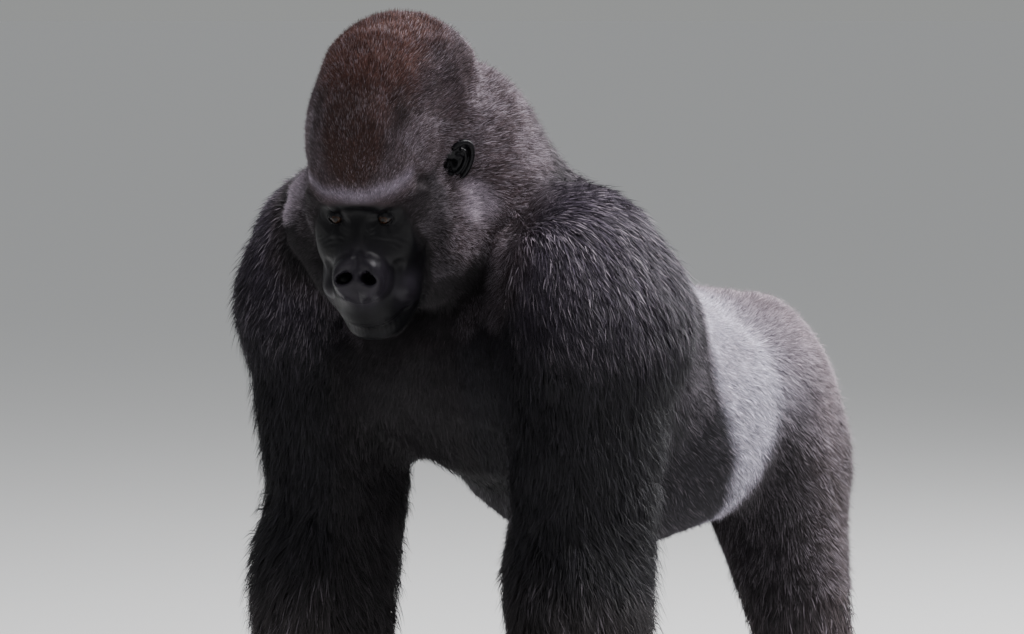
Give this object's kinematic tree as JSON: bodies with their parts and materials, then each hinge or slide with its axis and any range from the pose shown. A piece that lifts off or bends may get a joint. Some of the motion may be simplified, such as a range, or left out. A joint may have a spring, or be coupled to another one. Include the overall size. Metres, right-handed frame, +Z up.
{
  "type": "gorilla statue",
  "caption": "Life-size silverback lowland gorilla standing still on its knuckles and soles, head turned to its left.",
  "frame": {"origin": "on the floor, at the centre of the bounding box", "axes": "+Z up, the animal faces -Y and its left side is +X"},
  "size_m": [0.7186, 1.159, 1.268],
  "materials": {
    "brown_coat": "auburn and brown hair with pale tips",
    "black_coat": "long black hair with a few pale hairs",
    "silver_coat": "short blue-grey hair",
    "grey_coat": "brown-grey hair",
    "black_skin": "bare black skin with a soft sheen",
    "eye": "wet dark brown"
  },
  "bodies": {
    "root": {"head": "brown_coat", "neck": "brown_coat", "chest": "black_coat", "abdomen": "silver_coat", "hips": "silver_coat", "upper_arm_left": "black_coat", "upper_arm_right": "black_coat", "forearm_left": "black_coat", "forearm_right": "black_coat", "hand_left": "black_skin", "hand_right": "black_skin", "thigh_left": "grey_coat", "thigh_right": "grey_coat", "shin_left": "grey_coat", "shin_right": "grey_coat", "foot_left": "black_skin", "foot_right": "black_skin", "ear_left": "black_skin", "ear_right": "black_skin", "eye_left": "eye", "eye_right": "eye"}
  },
  "joints": []
}
